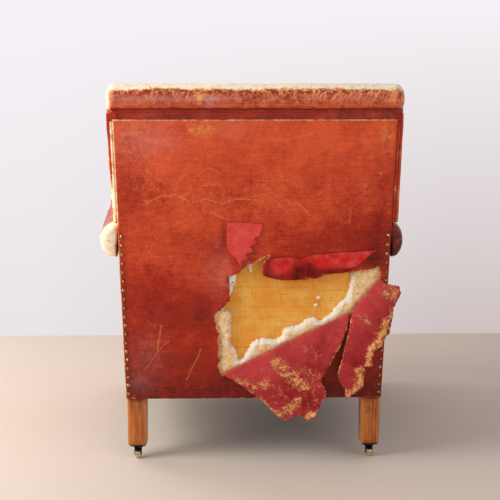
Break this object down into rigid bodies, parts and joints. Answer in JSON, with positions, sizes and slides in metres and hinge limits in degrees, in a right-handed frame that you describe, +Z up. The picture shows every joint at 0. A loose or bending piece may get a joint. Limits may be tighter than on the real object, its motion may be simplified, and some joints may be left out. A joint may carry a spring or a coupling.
{
  "type": "worn club chair",
  "caption": "Old upholstered club chair on castors: red hide, scroll top, rolled arms and a torn outside back that shows wadding and burlap.",
  "frame": {"origin": "bottom centre of the chair's box, on the floor under the castors", "axes": "+X to the sitter's right hand, +Y to the chair's front, +Z up"},
  "size_m": [0.7698, 0.809, 0.86],
  "materials": {
    "red_leather": "old pigmented upholstery hide, semi-gloss, cracked and worn pale along its edges",
    "red_lining": "coarse bright red lining cloth",
    "polished_wood": "french-polished beech, warm orange-brown, gloss worn at the edges",
    "raw_beech": "sawn beech, unfinished",
    "burlap": "plain-woven golden jute",
    "cotton_wadding": "loose cotton wadding, yellowed",
    "horsehair": "curled hair stuffing",
    "webbing": "twill jute webbing",
    "black_cloth": "plain black cotton",
    "spring_steel": "drawn steel wire",
    "brass": "worn brass",
    "black_iron": "black lacquered iron"
  },
  "bodies": {
    "chair": {"rear_leg_left": "polished_wood", "rear_leg_right": "polished_wood", "front_leg_left": "polished_wood", "front_leg_right": "polished_wood", "front_rail": "raw_beech", "rear_rail": "raw_beech", "side_rail_left": "raw_beech", "side_rail_right": "raw_beech", "back_top_rail": "raw_beech", "back_tack_rail": "raw_beech", "arm_rail_left": "raw_beech", "arm_rail_right": "raw_beech", "arm_tack_rail_left": "raw_beech", "arm_tack_rail_right": "raw_beech", "arm_post_left": "raw_beech", "arm_post_right": "raw_beech", "seat_webbing": "webbing", "seat_spring_1": "spring_steel", "seat_spring_2": "spring_steel", "seat_spring_3": "spring_steel", "seat_spring_4": "spring_steel", "seat_spring_5": "spring_steel", "seat_spring_6": "spring_steel", "seat_spring_7": "spring_steel", "seat_spring_8": "spring_steel", "seat_spring_9": "spring_steel", "seat_canvas": "burlap", "seat_stuffing": "horsehair", "seat_cushion": "red_leather", "front_border": "red_leather", "dust_cover": "black_cloth", "arm_pad_left": "red_leather", "arm_pad_right": "red_leather", "outside_arm_left": "red_leather", "outside_arm_right": "red_leather", "arm_facing_left": "red_leather", "arm_facing_right": "red_leather", "inside_back": "red_leather", "top_scroll": "red_leather", "back_canvas": "burlap", "back_burlap": "burlap", "back_wadding": "cotton_wadding", "outside_back": "red_leather", "lining_scrap_left": "red_lining", "lining_scrap_right": "red_lining", "castor_plate_rear_left": "brass", "castor_plate_rear_right": "brass", "castor_plate_front_left": "brass", "castor_plate_front_right": "brass"},
    "castor_rear_left": {"castor_fork_rear_left": "black_iron"},
    "wheel_rear_left": {"castor_wheel_rear_left": "brass"},
    "castor_rear_right": {"castor_fork_rear_right": "black_iron"},
    "wheel_rear_right": {"castor_wheel_rear_right": "brass"},
    "castor_front_left": {"castor_fork_front_left": "black_iron"},
    "wheel_front_left": {"castor_wheel_front_left": "brass"},
    "castor_front_right": {"castor_fork_front_right": "black_iron"},
    "wheel_front_right": {"castor_wheel_front_right": "brass"}
  },
  "joints": [
    {"name": "swivel_rear_left", "type": "hinge", "parent": "chair", "child": "castor_rear_left", "pos_m": [-0.2685, -0.2495, 0.03], "axis": [0, 0, 1], "continuous": true},
    {"name": "roll_rear_left", "type": "hinge", "parent": "castor_rear_left", "child": "wheel_rear_left", "pos_m": [-0.2685, -0.2565, 0.011], "axis": [1, 0, 0], "continuous": true},
    {"name": "swivel_rear_right", "type": "hinge", "parent": "chair", "child": "castor_rear_right", "pos_m": [0.2685, -0.2495, 0.03], "axis": [0, 0, 1], "continuous": true},
    {"name": "roll_rear_right", "type": "hinge", "parent": "castor_rear_right", "child": "wheel_rear_right", "pos_m": [0.2685, -0.2565, 0.011], "axis": [1, 0, 0], "continuous": true},
    {"name": "swivel_front_left", "type": "hinge", "parent": "chair", "child": "castor_front_left", "pos_m": [-0.31326, 0.3625, 0.03], "axis": [0, 0, 1], "continuous": true},
    {"name": "roll_front_left", "type": "hinge", "parent": "castor_front_left", "child": "wheel_front_left", "pos_m": [-0.31326, 0.3555, 0.011], "axis": [1, 0, 0], "continuous": true},
    {"name": "swivel_front_right", "type": "hinge", "parent": "chair", "child": "castor_front_right", "pos_m": [0.31326, 0.3625, 0.03], "axis": [0, 0, 1], "continuous": true},
    {"name": "roll_front_right", "type": "hinge", "parent": "castor_front_right", "child": "wheel_front_right", "pos_m": [0.31326, 0.3555, 0.011], "axis": [1, 0, 0], "continuous": true}
  ]
}
